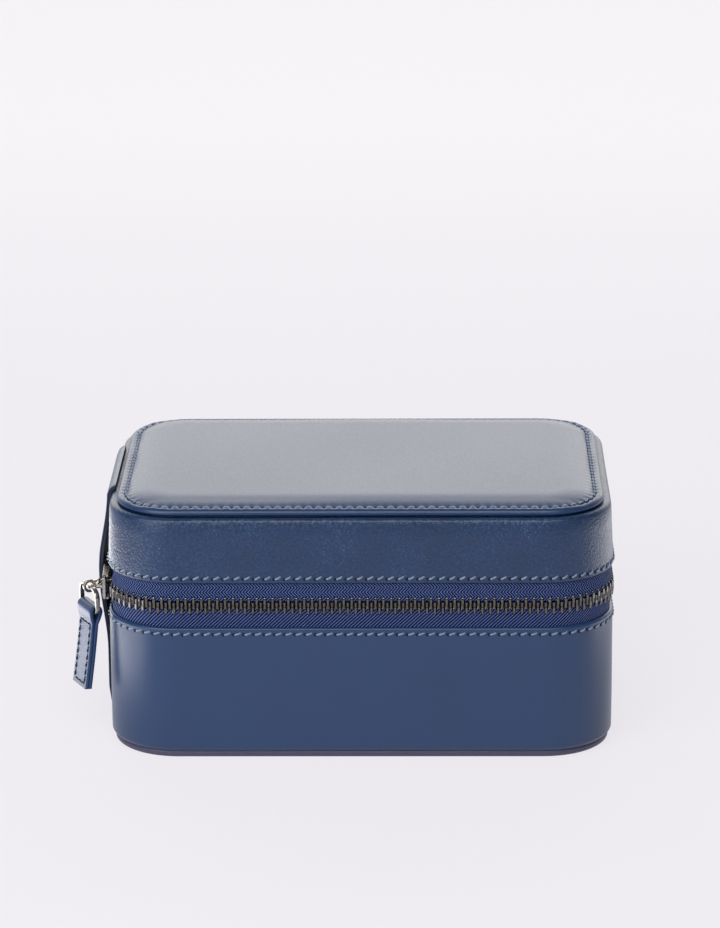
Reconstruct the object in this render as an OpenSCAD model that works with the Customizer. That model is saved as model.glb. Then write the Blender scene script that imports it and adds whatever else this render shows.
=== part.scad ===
// Leather jewellery case with a zip all round, millimetres, +Z up.
// The origin is the middle of the underside. The front is towards -Y and
// the hinge strap, the zip slider and its pull are on the left, towards -X.

/* [Case] */
// Width of the case at the zip
case_w = 165; // [150:1:185]
// Depth of the case at the zip
case_d = 112; // [106:1:130]
// Corner radius of the walls, seen from above
corner_r = 23; // [20:0.5:24]
// Height of the middle of the zip
zip_z = 52.5; // [48:0.5:58]
// Height of the seam under the lid's top panel
seam_z = 81.6; // [80:0.2:90]
// How far the lid wall leans in at its top
lid_lean = 1; // [0.4:0.1:1.6]

/* [Leather and board] */
// Thickness of the leather bands
leather_t = 1.1; // [0.9:0.1:1.2]
// Thickness of the stiff board in the walls
board_t = 3.2; // [2.8:0.1:3.4]
// Thickness of the suede lining
lining_t = 1; // [0.8:0.1:1.2]
// Thickness of the sole under the base
sole_t = 2.4; // [2:0.1:3]
// Height of the raised rim of the top panel
rim_h = 2.6; // [2.2:0.1:3]
// How far the padded top swells above its stitch line
crown_h = 2.2; // [1.4:0.1:2.6]

/* [Zip] */
// Opening between the two leather edges
zip_gap = 15; // [14.6:0.1:16]
// Distance from one tooth to the next in a row
tooth_pitch = 2.55; // [2.4:0.05:2.8]
// Thickness of the teeth through the tape
tooth_t = 2.5; // [2.3:0.1:2.5]

/* [Hinge strap and pull] */
// Width of the hinge strap
strap_w = 46; // [40:1:50]
// Thickness of the hinge strap
strap_t = 1.7; // [1.4:0.1:1.9]
// Length of the leather pull tab below its ring
tab_l = 26.4; // [22:0.2:29]
// Width of the leather pull tab
tab_w = 11; // [8:0.5:11.5]

/* [Inside] */
// Height of the dividers above the floor
divider_h = 26; // [18:1:30]
// Thickness of the dividers
divider_t = 3; // [2:0.2:4]
// Diameter of the ring rolls
roll_d = 14; // [12:0.5:14.5]
// Height of the bed under the ring rolls
bed_h = 14; // [10:0.5:18]

/* [Hidden] */
$fn = 64;
fit = 0.05;
half_gap = zip_gap / 2;
base_edge_z = zip_z - half_gap;
lid_edge_z = zip_z + half_gap;
board_edge = 6.2;

// Every band is a section swept round the wall line: section x is measured
// from the wall's outer face (0) inwards (negative), section y is height.
tape_out = -leather_t - fit;
tape_t = 0.7;
tape_in = tape_out - tape_t;
rebate = tape_in - fit;
board_in = -leather_t - board_t;
lining_in = board_in - lining_t;
tuck = 8;
bulge = 0.55;
chain_mid = tape_out - tape_t / 2 + bulge;
chain_half = 2.9;
head_reach = 0.9;
head_w = 0.9;
leg_w = 1.15;
floor_z = sole_t + 2.2;
inner_floor_z = floor_z + lining_t;
ceiling_z = seam_z - 3;
inner_ceiling_z = ceiling_z - lining_t;

// The top panel stands inside the wall line by this much.
rim_inset = 3.3;
stitch_in = 3;
slope_w = 13;
foam_t = 1.4;

inner_w = case_w + 2 * lining_in;
inner_d = case_d + 2 * lining_in;
inner_r = corner_r + lining_in;

run_long = case_w / 2 - corner_r;
run_short = case_d / 2 - corner_r;
chain_r = corner_r + chain_mid;
arc_x = -case_w / 2 + corner_r;
arc_y = -case_d / 2 + corner_r;
zip_end_y = strap_w / 2 - 3;
slider_y = arc_y + 0.5;
slider_half = 5.2;
mouth_angle = 17;

// Slider and pull, measured outwards from the left wall.
plate_t = 0.95;
chain_out = chain_mid + tooth_t / 2;
chain_in = chain_mid - tooth_t / 2;
plate_out = chain_out + 0.6;
plate_in = chain_in - 0.6;
slider_h = 10.6;
bar_r = 0.5;
bar_out = plate_out + plate_t + 1.8;
link_r = 1.45;
eye_r = 2.2;
link_hole = 0.98;
eye_hole = 1.25;
link_l = 3.2;
link_t = 1.2;
link_droop = 8;
strip_w = 1.6;
strip_t = 1;
ring_h = 7.6;
ring_w = tab_w + 2.4;
pull_turn = 27;
tab_t = 2.6;
tab_lean = 6;
loop_r = 2.2;
loop_hole = 1.25;
eye_at = [-link_l * cos(link_droop), 0, -link_l * sin(link_droop)];
bar_at = [-case_w / 2 - bar_out, slider_y, zip_z];

roll_pitch = roll_d + 0.6;
roll_count = 4;
mid_x = -inner_w / 2 + 2 + roll_count * roll_pitch;
bed_z = inner_floor_z + bed_h;
wall_gap = 0.4;

navy = [0.17, 0.22, 0.34];
royal = [0.2, 0.26, 0.44];
suede = [0.55, 0.56, 0.6];
grey_board = [0.6, 0.58, 0.54];
gunmetal = [0.3, 0.3, 0.31];
pewter = [0.62, 0.6, 0.56];

// A flat rounded rectangle.
module plan(w, d, r) {
    union() {
        square([w - 2 * r, d], center = true);
        square([w, d - 2 * r], center = true);
        for (sx = [-1, 1], sy = [-1, 1])
            translate([sx * (w / 2 - r), sy * (d / 2 - r)]) circle(r);
    }
}

// Rounded block from z0 to z1, set in from the wall line by inset.
module slab(inset, z0, z1) {
    translate([0, 0, z0])
        linear_extrude(z1 - z0)
            plan(case_w - 2 * inset, case_d - 2 * inset, corner_r - inset);
}

// One straight run of a section along a wall; turn 0 is the front wall.
module run(turn, reach, from, to) {
    rotate([0, 0, turn])
        translate([from, -reach, 0])
            rotate([90, 0, 90])
                linear_extrude(to - from)
                    mirror([1, 0]) children();
}

// One corner of a section, from angle a0 over angle da.
module corner(sx, sy, a0, da) {
    translate([sx * (case_w / 2 - corner_r), sy * (case_d / 2 - corner_r), 0])
        rotate([0, 0, a0])
            rotate_extrude(angle = da)
                translate([corner_r, 0]) children();
}

// A section swept all the way round the wall line.
module sweep_round() {
    run(0, case_d / 2, -run_long, run_long) children();
    run(90, case_w / 2, -run_short, run_short) children();
    run(180, case_d / 2, -run_long, run_long) children();
    run(270, case_w / 2, -run_short, run_short) children();
    corner(-1, -1, 180, 90) children();
    corner(1, -1, 270, 90) children();
    corner(1, 1, 0, 90) children();
    corner(-1, 1, 90, 90) children();
}

// A section swept along the zip: it stops at the strap on both sides.
// lead adds the stretch of left wall between the strap and the corner.
module sweep_zip(lead) {
    if (lead) run(270, case_w / 2, zip_end_y, run_short) children();
    corner(-1, -1, 180, 90) children();
    run(0, case_d / 2, -run_long, run_long) children();
    corner(1, -1, 270, 90) children();
    run(90, case_w / 2, -run_short, run_short) children();
    corner(1, 1, 0, 90) children();
    run(180, case_d / 2, -run_long, run_long) children();
    corner(-1, 1, 90, 90) children();
    run(270, case_w / 2, -run_short, -zip_end_y) children();
}

// The zip's path along the middle of the chain, in the order front-left
// corner, front, corner, right, corner, back, corner, left: even entries
// are quarter turns and odd entries are straight runs.
function path_length(i) =
    i % 2 == 0 ? chain_r * PI / 2
    : i == 7 ? run_short - zip_end_y
    : i == 3 ? 2 * run_short
    : 2 * run_long;
function path_start(i) = i == 0 ? 0 : path_start(i - 1) + path_length(i - 1);

// Puts its children on the path, s millimetres from the path's start.
module on_path(s) {
    i = max([for (k = [0 : 7]) if (path_start(k) <= s) k]);
    t = s - path_start(i);
    turn = 90 * floor(i / 2);
    side = floor(i / 2) % 2;
    if (i % 2 == 0) {
        sx = i == 0 || i == 6 ? -1 : 1;
        sy = i < 4 ? -1 : 1;
        translate([sx * run_long, sy * run_short, zip_z])
            rotate([0, 0, turn - 90 + t / chain_r * 180 / PI])
                translate([0, -chain_r, 0]) children();
    } else {
        half = side == 0 ? run_long : run_short;
        reach = side == 0 ? case_d / 2 : case_w / 2;
        rotate([0, 0, turn])
            translate([t - half, -reach - chain_mid, zip_z]) children();
    }
}

// One tooth, its legs towards the tape (up = 1 for the upper row).
module one_tooth(up) {
    flip = up > 0 ? 0 : 1;
    mirror([0, 0, flip]) union() {
        translate([-leg_w / 2, -tooth_t / 2, 1.2])
            cube([leg_w, tooth_t, chain_half - 1.2]);
        translate([-head_w / 2, -tooth_t / 2 + 0.2, -head_reach])
            cube([head_w, tooth_t - 0.4, head_reach + 1.2]);
    }
}

// Cuts away the start of the front-left corner, up to the slider's mouth.
module from_mouth() {
    reach = 2 * corner_r;
    difference() {
        union() children();
        translate([-run_long, -run_short, 0])
            linear_extrude(2 * zip_z) polygon([
                [0, 0], [-reach, reach / 4],
                [-reach * cos(mouth_angle), -reach * sin(mouth_angle)]]);
    }
}

// The bead that ties a row of teeth together.
module bead_section(up) {
    low = up > 0 ? zip_z + 2.1 : zip_z - chain_half;
    translate([chain_mid - 0.8, low]) square([1.6, chain_half - 2.1]);
}

// A row of teeth all along the zip; the rows are half a pitch apart.
module tooth_row(up) {
    phase = 1 + (up > 0 ? tooth_pitch / 2 : 0);
    first = up > 0 ? chain_r * mouth_angle * PI / 180 + 0.8 : 1;
    begin = phase + ceil((first - phase) / tooth_pitch) * tooth_pitch;
    count = floor((path_start(8) - 0.8 - begin) / tooth_pitch);
    for (i = [0 : count]) on_path(begin + i * tooth_pitch) one_tooth(up);
    if (up > 0) from_mouth() sweep_zip(false) bead_section(up);
    else sweep_zip(false) bead_section(up);
}

// Section of a zip tape, from its tuck behind the leather to the chain.
module tape_section(up) {
    far = half_gap + tuck;
    near = chain_half;
    s = up;
    polygon([
        [tape_in, zip_z + s * far], [tape_out, zip_z + s * far],
        [tape_out, zip_z + s * half_gap], [tape_out + bulge, zip_z + s * (near + 1)],
        [tape_out + bulge, zip_z + s * near], [tape_in + bulge, zip_z + s * near],
        [tape_in + bulge, zip_z + s * (near + 1)], [tape_in, zip_z + s * half_gap]]);
}

// Section of the base wall board, with a rebate for the tape.
module base_board_section() {
    rebate_z = base_edge_z - tuck - fit;
    polygon([
        [board_in, floor_z - fit], [board_in, zip_z - board_edge],
        [rebate, zip_z - board_edge], [rebate, rebate_z],
        [-leather_t - fit, rebate_z], [-leather_t - fit, floor_z - fit]]);
}

// Section of the lid wall board: it follows the lean of the leather.
module lid_board_section() {
    rebate_z = lid_edge_z + tuck + fit;
    lean = lid_lean * tuck / (seam_z - lid_edge_z);
    polygon([
        [board_in, ceiling_z + fit], [board_in, zip_z + board_edge],
        [rebate, zip_z + board_edge], [rebate, rebate_z],
        [-leather_t - lean - fit, rebate_z],
        [-leather_t - lid_lean - fit, ceiling_z + fit]]);
}

// Rounded end of a leather edge, as points of a quarter circle.
function quarter(cx, cy, r, a0, a1) =
    [for (i = [0 : 6]) let (a = a0 + (a1 - a0) * i / 6) [cx + r * cos(a), cy + r * sin(a)]];

module base_sole() {
    inset = 1.1;
    color(navy) union() {
        slab(inset + 1.1, 0, sole_t - fit);
        difference() {
            sweep_round() polygon(concat(
                [[-inset - 1.2, 0]],
                quarter(-inset - 1.1, 1.1, 1.1, -90, 0),
                quarter(-inset - 0.8, sole_t - fit - 0.8, 0.8, 0, 90),
                [[-inset - 1.2, sole_t - fit]]));
        }
    }
}

module base_board() {
    color(grey_board) union() {
        slab(leather_t + fit, sole_t, floor_z);
        sweep_round() base_board_section();
    }
}

module base_band() {
    color(navy) sweep_round() polygon(concat(
        [[-leather_t, sole_t], [-1, sole_t]],
        quarter(-1.2, sole_t + 0.8, 0.8, -60, 0),
        [[0, base_edge_z - 0.9]],
        quarter(-0.7, base_edge_z - 0.7, 0.7, 0, 90),
        [[-leather_t, base_edge_z]]));
}

module base_lining() {
    top = zip_z - 0.6;
    color(suede) union() {
        slab(-lining_in - 0.3, floor_z + fit, inner_floor_z);
        sweep_round() polygon([
            [lining_in, floor_z + fit], [board_in - fit, floor_z + fit],
            [board_in - fit, top], [lining_in, top]]);
    }
}

module roll_bed() {
    left = -inner_w / 2 + wall_gap;
    span = inner_d - 2 * wall_gap;
    color(suede) difference() {
        intersection() {
            translate([0, 0, inner_floor_z + fit])
                linear_extrude(bed_z - inner_floor_z)
                    plan(inner_w - 2 * wall_gap, span, inner_r - wall_gap);
            translate([left, -span / 2, inner_floor_z])
                cube([mid_x - 1 - left, span, bed_z]);
        }
        for (i = [0 : roll_count - 1])
            translate([roll_x(i), -span, bed_z + roll_d / 2 - 3])
                rotate([-90, 0, 0]) cylinder(d = roll_d + 0.2, h = 2 * span);
    }
}

function roll_x(i) = -inner_w / 2 + 1.2 + (i + 0.5) * roll_pitch;

// A stuffed roll lying along Y: full in the middle, drawn in at its ends.
module ring_roll(i) {
    span = inner_d - 30;
    r = roll_d / 2;
    color(suede)
        translate([roll_x(i), 0, bed_z + r - 3])
            rotate([90, 0, 0])
                rotate_extrude() polygon(concat(
                    [[0, -span / 2], [r * 0.4, -span / 2]],
                    [for (k = [0 : 4]) [r * (0.6 + 0.36 * sin(k * 22.5)), -span / 2 + r * 0.5 * (1 - cos(k * 22.5))]],
                    [[r, 0]],
                    [for (k = [4 : -1 : 0]) [r * (0.6 + 0.36 * sin(k * 22.5)), span / 2 - r * 0.5 * (1 - cos(k * 22.5))]],
                    [[r * 0.4, span / 2], [0, span / 2]]));
}

module ring_roll_1() { ring_roll(0); }
module ring_roll_2() { ring_roll(1); }
module ring_roll_3() { ring_roll(2); }
module ring_roll_4() { ring_roll(3); }

module divider_long() {
    span = inner_d - 2 * wall_gap;
    color(suede)
        translate([mid_x, -span / 2, inner_floor_z + fit]) cube([divider_t, span, divider_h]);
}

module cross(y) {
    from = mid_x + divider_t + fit;
    color(suede)
        translate([from, y - divider_t / 2, inner_floor_z + fit])
            cube([inner_w / 2 - wall_gap - from, divider_t, divider_h - 2]);
}

module divider_cross_1() { cross(-inner_d / 6); }
module divider_cross_2() { cross(inner_d / 6); }

module lower_tape() { color(royal) sweep_zip(true) tape_section(-1); }
module upper_tape() { color(royal) from_mouth() sweep_zip(false) tape_section(1); }
module lower_teeth() { color(gunmetal) tooth_row(-1); }
module upper_teeth() { color(gunmetal) tooth_row(1); }

// Suede gusset that closes the wall behind the strap.
module hinge_gusset() {
    half = zip_end_y - 0.5;
    far = half_gap + tuck;
    color(suede)
        translate([-case_w / 2 - tape_out, -half, zip_z - far])
            cube([tape_t, 2 * half, 2 * far]);
}

// The strap: it lies on the base, bows out over the zip, and curls over
// the lid's shoulder into the seam under the rim.
shoulder = 1.6;
strap_low = 5;
strap_high = seam_z - fit - shoulder;
strap_free = 26;
strap_bow = 2.4;

function wall_at(z) = z < lid_edge_z ? 0 : lid_lean * (z - lid_edge_z) / (seam_z - lid_edge_z);
function strap_back(z) =
    fit - wall_at(z)
    + (z < strap_free ? 0
        : strap_bow * pow(sin(180 * (z - strap_free) / (strap_high - strap_free)), 2));
function strap_thick(z) =
    z < strap_low + 8 ? 0.6 + (strap_t - 0.6) * (z - strap_low) / 8 : strap_t;
function curl(r, from, to) =
    quarter(-lid_lean - shoulder, strap_high, r, from, to);

module hinge_strap() {
    n = 28;
    levels = [for (i = [0 : n]) strap_low + (strap_high - strap_low) * i / n];
    back = [for (z = levels) [strap_back(z), z]];
    face = [for (i = [n : -1 : 0]) [strap_back(levels[i]) + strap_thick(levels[i]), levels[i]]];
    color(navy)
        translate([-case_w / 2, -strap_w / 2, 0])
            rotate([90, 0, 180]) linear_extrude(strap_w) polygon(concat(
                back, curl(shoulder + 0.15, 8, 88), curl(shoulder + strap_t - 0.2, 88, 8), face));
}

module lid_band() {
    top = seam_z - fit;
    step_z = lid_edge_z + tuck + fit / 2;
    lean = lid_lean * tuck / (seam_z - lid_edge_z);
    color(navy) sweep_round() polygon(concat(
        [[-leather_t, lid_edge_z]],
        quarter(-0.7, lid_edge_z + 0.7, 0.7, -90, 0),
        [[-lid_lean * 0.9, top - 2]],
        quarter(-lid_lean - shoulder, top - shoulder, shoulder, 5, 90),
        [[-rim_inset - 2, top], [-rim_inset - 2, ceiling_z + 2.05 + fit],
         [-leather_t - lid_lean, ceiling_z + 2.05 + fit],
         [-leather_t - lean, step_z], [-leather_t, step_z]]));
}

module lid_board() {
    color(grey_board) union() {
        slab(leather_t + lid_lean + fit, ceiling_z, ceiling_z + 2);
        slab(rim_inset + 2 + fit, ceiling_z + 1.9, seam_z);
        sweep_round() lid_board_section();
    }
}

// Height of the padded top above the stitch line, s from the stitches.
function swell(s) = crown_h * (1 - pow(1 - min(1, s / slope_w), 2.2));

module lid_foam() {
    first = rim_inset + stitch_in + 1.5;
    base = seam_z + fit;
    steps = 8;
    pts = [for (i = [0 : steps]) let (s = slope_w * i / steps)
        [-first - s, base + 0.5 + swell(s)]];
    color(grey_board) union() {
        slab(first + slope_w - 0.05, base, base + 0.5 + crown_h);
        sweep_round() polygon(concat([[-first - slope_w, base], [-first, base]], pts));
    }
}

// The top leather: a raised rim, a stitched dip and the padded crown.
module lid_top() {
    first = rim_inset + stitch_in + 1.5;
    base = seam_z + fit;
    skin = 1.2;
    steps = 8;
    over = [for (i = [0 : steps]) let (s = slope_w * i / steps)
        [-first - s, base + 0.5 + swell(s) + skin]];
    under = [for (i = [steps : -1 : 0]) let (s = slope_w * i / steps)
        [-first - s, base + 0.5 + swell(s) + fit]];
    color(navy) union() {
        translate([0, 0, base + 0.5 + crown_h + fit])
            linear_extrude(skin - fit)
                plan(case_w - 2 * (first + slope_w - 0.05), case_d - 2 * (first + slope_w - 0.05), 1.5);
        sweep_round() polygon(concat(
            quarter(-rim_inset - 1.2, base + 1.2, 1.2, -90, 0),
            quarter(-rim_inset - 1.2, base + rim_h - 1.2, 1.2, 0, 90),
            [[-rim_inset - stitch_in + 0.6, base + rim_h - 0.1],
             [-rim_inset - stitch_in - 0.4, base + rim_h - 0.6]],
            over, under, [[-first + fit, base + 0.5], [-first + fit, base]]));
    }
}

module lid_lining() {
    low = zip_z + board_edge;
    color(suede) union() {
        slab(-lining_in - 0.3, inner_ceiling_z, ceiling_z - fit);
        sweep_round() polygon([
            [lining_in, low], [board_in - fit, low],
            [board_in - fit, ceiling_z - fit], [lining_in, ceiling_z - fit]]);
    }
}

// A soft cushion under the lid's ceiling, drawn in at its edge.
module lid_pad() {
    gap = -lining_in + 3;
    drop = 5;
    top = inner_ceiling_z - fit;
    color(suede) union() {
        slab(gap + 6 - 0.05, top - drop, top);
        sweep_round() polygon(concat(
            [[-gap - 6, top], [-gap - 1, top]],
            [for (i = [0 : 7]) [-gap - 6 + 6 * cos(i * 90 / 7), top - 0.8 - (drop - 0.8) * sin(i * 90 / 7)]]));
    }
}

// Slider shell: two plates with lips along their edges, joined by a post
// where the two rows of teeth part.
module slider_shell() {
    out = -case_w / 2 - plate_out;
    inn = -case_w / 2 - plate_in;
    color(pewter) translate([0, slider_y, zip_z]) union() {
        slider_layer(out - plate_t, plate_t) slider_plan();
        slider_layer(inn, plate_t) slider_plan();
        for (s = [0, 1]) {
            slider_layer(out - fit, 1 + fit) mirror([0, s]) lip_plan();
            slider_layer(inn - 0.75, 0.75 + fit) mirror([0, s]) lip_plan();
        }
        translate([out - fit, slider_half - 2.4, 0])
            rotate([0, 90, 0]) cylinder(r = 1.1, h = inn - out + 2 * fit);
    }
}

// A flat shape with the chain along its x, set at x and as thick as t.
module slider_layer(x, t) {
    translate([x, 0, 0]) rotate([90, 0, 90]) linear_extrude(t) children();
}

// One plate: narrow behind, where the chain is closed, and broad at the mouth.
module slider_plan() {
    h = slider_h / 2;
    l = slider_half;
    polygon([[-l, -h + 2.2], [-l + 0.9, -h + 1.2], [1.5, -h], [l - 0.8, -h], [l, -h + 0.8],
        [l, h - 0.8], [l - 0.8, h], [1.5, h], [-l + 0.9, h - 1.2], [-l, h - 2.2]]);
}

// The lip along one edge of a plate.
module lip_plan() {
    h = slider_h / 2;
    l = slider_half;
    polygon([[-l + 0.9, h - 1.2], [1.5, h], [l - 0.8, h],
        [l - 0.8, h - 0.8], [1.6, h - 0.8], [-l + 0.9, h - 1.9]]);
}

// The bridge: a round bar along the chain on two posts.
module slider_bridge() {
    face = -case_w / 2 - plate_out - plate_t - fit;
    bar_x = -case_w / 2 - bar_out;
    color(pewter) union() {
        for (s = [-1, 1])
            translate([bar_x, slider_y + s * 3.4, zip_z])
                rotate([0, 90, 0]) cylinder(r = bar_r + 0.15, h = face - bar_x);
        translate([bar_x, slider_y - 3.4, zip_z]) rotate([-90, 0, 0]) cylinder(r = bar_r, h = 6.8);
        for (s = [-1, 1])
            translate([bar_x, slider_y + s * 3.4, zip_z]) sphere(r = bar_r + 0.15);
    }
}

// Everything on the pull is drawn with the bridge bar at the origin, the
// link along -X and the pull hanging in -Z, then turned and put in place.
module place_pull() {
    translate(bar_at) rotate([0, 0, pull_turn]) children();
}

module pull_link() {
    color(pewter) place_pull() rotate([0, -link_droop, 0])
        translate([0, link_t / 2, 0]) rotate([90, 0, 0])
            linear_extrude(link_t) difference() {
                union() {
                    circle(link_r);
                    translate([-link_l, 0]) circle(eye_r);
                    translate([-link_l, -link_r]) square([link_l, 2 * link_r]);
                }
                circle(link_hole);
                translate([-link_l, 0]) circle(eye_hole);
            }
}

// A loop bent from flat strip, round at the top and squarer below.
module pull_ring() {
    color(pewter) place_pull() translate(eye_at)
        translate([-strip_w / 2, 0, 0]) rotate([90, 0, 90])
            linear_extrude(strip_w) difference() {
                ring_outline(strip_t / 2);
                ring_outline(-strip_t / 2);
            }
}

// Outline of the loop's middle line moved outwards by grow.
module ring_outline(grow) {
    half = ring_w / 2;
    top_r = 3;
    low_r = 1.4;
    union() {
        for (s = [-1, 1]) {
            translate([s * (half - top_r), -top_r]) circle(top_r + grow);
            translate([s * (half - low_r), -ring_h + low_r]) circle(low_r + grow);
        }
        translate([-half + top_r, -ring_h / 2]) square([ring_w - 2 * top_r, ring_h / 2 + grow]);
        translate([-half + low_r, -ring_h - grow]) square([ring_w - 2 * low_r, ring_h / 2 + grow]);
        translate([-half - grow, -ring_h + low_r])
            square([ring_w + 2 * grow, ring_h - low_r - top_r]);
    }
}

// Leather folded over the ring's lower bar and sewn flat below it.
module pull_tab() {
    round = 1.5;
    color(navy) place_pull() translate(eye_at + [0, 0, -ring_h]) rotate([0, tab_lean, 0])
        intersection() {
            translate([0, tab_w / 2, 0]) rotate([90, 0, 0])
                linear_extrude(tab_w) difference() {
                    union() {
                        circle(loop_r);
                        translate([-tab_t / 2, -tab_l]) square([tab_t, tab_l]);
                    }
                    circle(loop_hole);
                }
            translate([-3, 0, 0]) rotate([90, 0, 90]) linear_extrude(6) union() {
                translate([-tab_w / 2, -tab_l + round]) square([tab_w, tab_l + loop_r]);
                translate([-tab_w / 2 + round, -tab_l]) square([tab_w - 2 * round, 2 * round]);
                for (s = [-1, 1])
                    translate([s * (tab_w / 2 - round), -tab_l + round]) circle(round);
            }
        }
}

base_sole();
base_board();
base_band();
base_lining();
roll_bed();
ring_roll_1();
ring_roll_2();
ring_roll_3();
ring_roll_4();
divider_long();
divider_cross_1();
divider_cross_2();
lower_tape();
lower_teeth();
hinge_gusset();
hinge_strap();
lid_band();
lid_board();
lid_foam();
lid_top();
lid_lining();
lid_pad();
upper_tape();
upper_teeth();
slider_shell();
slider_bridge();
pull_link();
pull_ring();
pull_tab();
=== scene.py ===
# %% [markdown]
# # Leather jewellery case
# The real case is a boarded box covered in navy leather, closed by a metal
# zip, with a leather strap as its hinge and a suede inside. The solids give
# the frame and the joints; this lesson dresses them. Shapes are drawn in
# millimetres, because that is how a maker thinks of leather, and each mesh
# is shrunk to metres when it is finished.

# %% Set-up
import math

import bmesh
import bpy
from mathutils import Matrix, Vector
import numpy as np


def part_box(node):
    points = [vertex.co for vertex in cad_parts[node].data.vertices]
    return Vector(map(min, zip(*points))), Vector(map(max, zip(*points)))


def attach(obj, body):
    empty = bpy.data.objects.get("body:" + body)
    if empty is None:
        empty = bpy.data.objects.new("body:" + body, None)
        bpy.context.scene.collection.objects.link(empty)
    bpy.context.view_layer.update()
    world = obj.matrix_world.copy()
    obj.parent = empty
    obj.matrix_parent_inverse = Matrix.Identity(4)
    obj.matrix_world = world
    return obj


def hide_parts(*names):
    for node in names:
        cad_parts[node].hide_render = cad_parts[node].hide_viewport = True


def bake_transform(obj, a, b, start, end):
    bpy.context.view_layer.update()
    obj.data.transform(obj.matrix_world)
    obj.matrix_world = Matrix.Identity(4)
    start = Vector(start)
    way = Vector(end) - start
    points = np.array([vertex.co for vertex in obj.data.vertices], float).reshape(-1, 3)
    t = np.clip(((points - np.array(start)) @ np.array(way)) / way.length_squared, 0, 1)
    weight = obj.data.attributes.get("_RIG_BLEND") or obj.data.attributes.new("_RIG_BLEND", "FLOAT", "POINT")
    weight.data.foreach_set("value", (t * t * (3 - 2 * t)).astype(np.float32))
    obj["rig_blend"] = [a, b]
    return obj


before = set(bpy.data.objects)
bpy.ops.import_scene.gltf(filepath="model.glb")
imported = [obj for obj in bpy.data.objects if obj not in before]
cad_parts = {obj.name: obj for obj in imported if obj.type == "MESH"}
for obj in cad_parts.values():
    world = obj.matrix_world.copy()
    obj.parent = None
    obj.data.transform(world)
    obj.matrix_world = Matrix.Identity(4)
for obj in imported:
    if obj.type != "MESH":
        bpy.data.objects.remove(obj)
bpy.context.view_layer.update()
MM = 0.001

# %% [markdown]
# ## Sizes
# The names and values are those of the part's source, so that every piece
# lands where its solid is. Heights are measured from the table, and the
# wall line is the outer face of the leather.

# %% Named sizes
CASE_W, CASE_D, CORNER_R = 165.0, 112.0, 23.0
ZIP_Z, HALF_GAP, SEAM_Z = 52.5, 7.5, 81.6
BASE_EDGE, LID_EDGE = ZIP_Z - HALF_GAP, ZIP_Z + HALF_GAP
LID_LEAN, SHOULDER, SOLE_T, LEATHER_T = 1.0, 1.6, 2.4, 1.1
RUN_LONG, RUN_SHORT = CASE_W / 2 - CORNER_R, CASE_D / 2 - CORNER_R
STRAP_W, STRAP_T, STRAP_LOW, STRAP_FREE = 46.0, 1.7, 5.0, 26.0
ZIP_END_Y = STRAP_W / 2 - 3
HINGE = Vector((-84.7, 0.0, ZIP_Z)) * MM
print("case", CASE_W, "x", CASE_D, "mm, zip at", ZIP_Z)

# %% [markdown]
# ## Carrying a section round the walls
# Most of the case is one section carried round a rounded rectangle: the
# leather bands, the zip tapes, the rim of the top and the linings. A curve
# with a bevel object could do it, but it twists at corners. Here the
# section's edges are extruded in steps, moved along the straight walls and
# turned about the corner centres, which keeps every ring square to the wall.
# Each point also remembers how far along it is, for the weave of the tape.

# %% Small mesh helpers
def verts_of(geom):
    """The vertices among what an operator made."""
    return [item for item in geom if isinstance(item, bmesh.types.BMVert)]


def edges_between(geom):
    """The edges among what an operator made that join two of its new vertices."""
    ends = set(verts_of(geom))
    edges = [item for item in geom if isinstance(item, bmesh.types.BMEdge)]
    return [edge for edge in edges if edge.verts[0] in ends and edge.verts[1] in ends]


def new_mesh():
    """An empty bmesh whose points can remember a length."""
    bm = bmesh.new()
    bm.verts.layers.float.new("along")
    return bm


def draw_line(bm, points, closed=True):
    """A few vertices joined by edges."""
    verts = [bm.verts.new(point) for point in points]
    edges = [bm.edges.new(pair) for pair in zip(verts, verts[1:])]
    if closed:
        edges.append(bm.edges.new((verts[-1], verts[0])))
    return edges


def close_ends(bm):
    """Fills every open loop."""
    bmesh.ops.holes_fill(bm, edges=[edge for edge in bm.edges if edge.is_boundary])


def turn(bm, verts, angle, axis, middle=(0, 0, 0)):
    """Turns points about an axis through a middle point."""
    bmesh.ops.rotate(bm, verts=verts, cent=middle, matrix=Matrix.Rotation(angle, 3, axis))


def round_edges(bm, edges, offset, segments):
    """Bevels edges to a round profile."""
    bmesh.ops.bevel(bm, geom=list(edges), offset=offset, segments=segments, profile=0.5,
                    affect="EDGES", material=-1)


def unit_mesh(bm, name):
    """Keeps a small shape for copying, still in millimetres."""
    unit = bpy.data.meshes.new(name)
    bm.to_mesh(unit)
    bm.free()
    return unit


def finish_mesh(bm, name, material, sharp=35):
    """Merges doubles, turns faces outwards, and makes the object in metres."""
    bmesh.ops.remove_doubles(bm, verts=bm.verts, dist=0.002)
    bmesh.ops.recalc_face_normals(bm, faces=bm.faces)
    bmesh.ops.scale(bm, vec=(MM, MM, MM), verts=bm.verts)
    mesh = bpy.data.meshes.new(name)
    bm.to_mesh(mesh)
    bm.free()
    for face in mesh.polygons:
        face.use_smooth = True
    mesh.set_sharp_from_angle(angle=math.radians(sharp))
    mesh.materials.append(material)
    obj = bpy.data.objects.new(name, mesh)
    bpy.context.scene.collection.objects.link(obj)
    return obj


def dress(obj, body, slot, *nodes):
    """Says which body carries a piece and the solids it stands for; slot, its finish, is not used."""
    if body:
        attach(obj, body)
    if nodes:
        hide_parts(*nodes)
    return obj


print("mesh helpers ready")

# %% The sweep
def advance(bm, edges, steps, length, move):
    """Extrudes edges in steps; move shifts the new points of one step."""
    along = bm.verts.layers.float["along"]
    for _ in range(steps):
        before = edges[0].verts[0][along]
        made = bmesh.ops.extrude_edge_only(bm, edges=edges)["geom"]
        points = verts_of(made)
        move(points)
        for point in points:
            point[along] = before + length / steps
        edges = edges_between(made)
    return edges


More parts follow.
